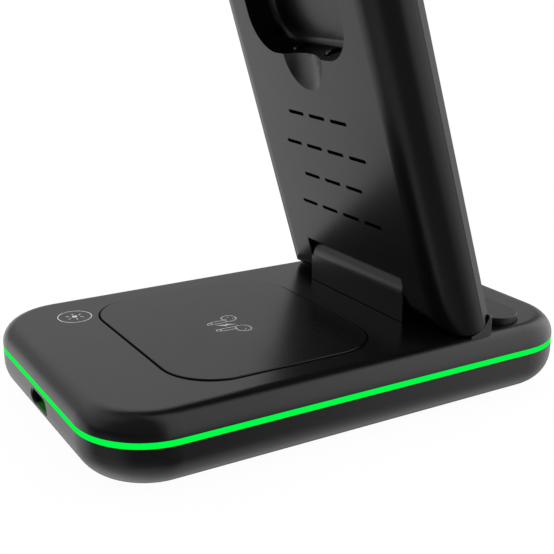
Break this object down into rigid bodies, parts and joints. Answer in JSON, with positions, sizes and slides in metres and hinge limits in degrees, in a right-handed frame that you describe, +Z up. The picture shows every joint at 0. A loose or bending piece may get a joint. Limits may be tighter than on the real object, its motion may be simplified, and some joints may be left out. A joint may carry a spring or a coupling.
{
  "type": "folding wireless charger",
  "caption": "Folding wireless charging stand: a low base with an earbud pad and a side light line, a leaning phone upright and a flip-out watch arm.",
  "frame": {"origin": "centre of the base's footprint on the table plane", "axes": "+Z up, the phone side faces -Y, the power inlet and the earbud pad lie towards +Y, +X is across"},
  "size_m": [0.085, 0.134, 0.1398],
  "materials": {
    "housing_black": "fine matte black, soft satin sheen",
    "panel_black": "fine matte black",
    "pad_black": "soft-touch matte black with a light grey printed symbol",
    "puck_black": "soft-touch matte black",
    "light_guide": "milky light guide, lit green",
    "led_clear": "clear lens",
    "soft_rubber": "soft black rubber",
    "bright_steel": "bright steel",
    "screw_steel": "dark zinc plate",
    "ballast_steel": "plain steel sheet",
    "washer_plastic": "pale low-friction plastic",
    "coil_copper": "enamelled copper wire",
    "ferrite_grey": "dark grey ferrite",
    "board_green": "green solder mask",
    "sensor_metal": "bare copper pad",
    "magnet_nickel": "nickel plate"
  },
  "bodies": {
    "base": {"base_upper_housing": "housing_black", "base_lower_housing": "housing_black", "light_guide_strip": "light_guide", "side_leds": "led_clear", "earbud_pad": "pad_black", "touch_sensor_plate": "sensor_metal", "phone_rest_pad": "soft_rubber", "power_socket": "bright_steel", "main_circuit_board": "board_green", "board_screws": "screw_steel", "earbud_coil": "coil_copper", "earbud_ferrite_sheet": "ferrite_grey", "ballast_plate": "ballast_steel", "rubber_feet": "soft_rubber", "base_screws": "screw_steel", "hinge_block": "housing_black", "hinge_block_screws": "screw_steel"},
    "upright": {"upright_rear_shell": "housing_black", "upright_front_panel": "panel_black", "hinge_pin": "bright_steel", "hinge_friction_washers": "washer_plastic", "arm_hinge_pin": "bright_steel", "pocket_detent_pins": "bright_steel", "phone_coil_lower": "coil_copper", "phone_coil_upper": "coil_copper", "phone_ferrite_lower": "ferrite_grey", "phone_ferrite_upper": "ferrite_grey", "upright_circuit_board": "board_green", "upright_board_screws": "screw_steel"},
    "watch_arm": {"watch_arm_body": "housing_black", "watch_arm_cover": "housing_black", "watch_puck": "puck_black", "watch_coil": "coil_copper", "watch_ferrite": "ferrite_grey", "watch_align_magnet": "magnet_nickel"}
  },
  "joints": [
    {"name": "upright_fold", "type": "hinge", "parent": "base", "child": "upright", "pos_m": [0, -0.031, 0.0261], "axis": [-1, 0, 0], "range_deg": [0, 72.9]},
    {"name": "watch_arm_flip", "type": "hinge", "parent": "upright", "child": "watch_arm", "pos_m": [0, 0.00451, 0.12817], "axis": [1, 0, 0], "range_deg": [-107, 0]}
  ]
}
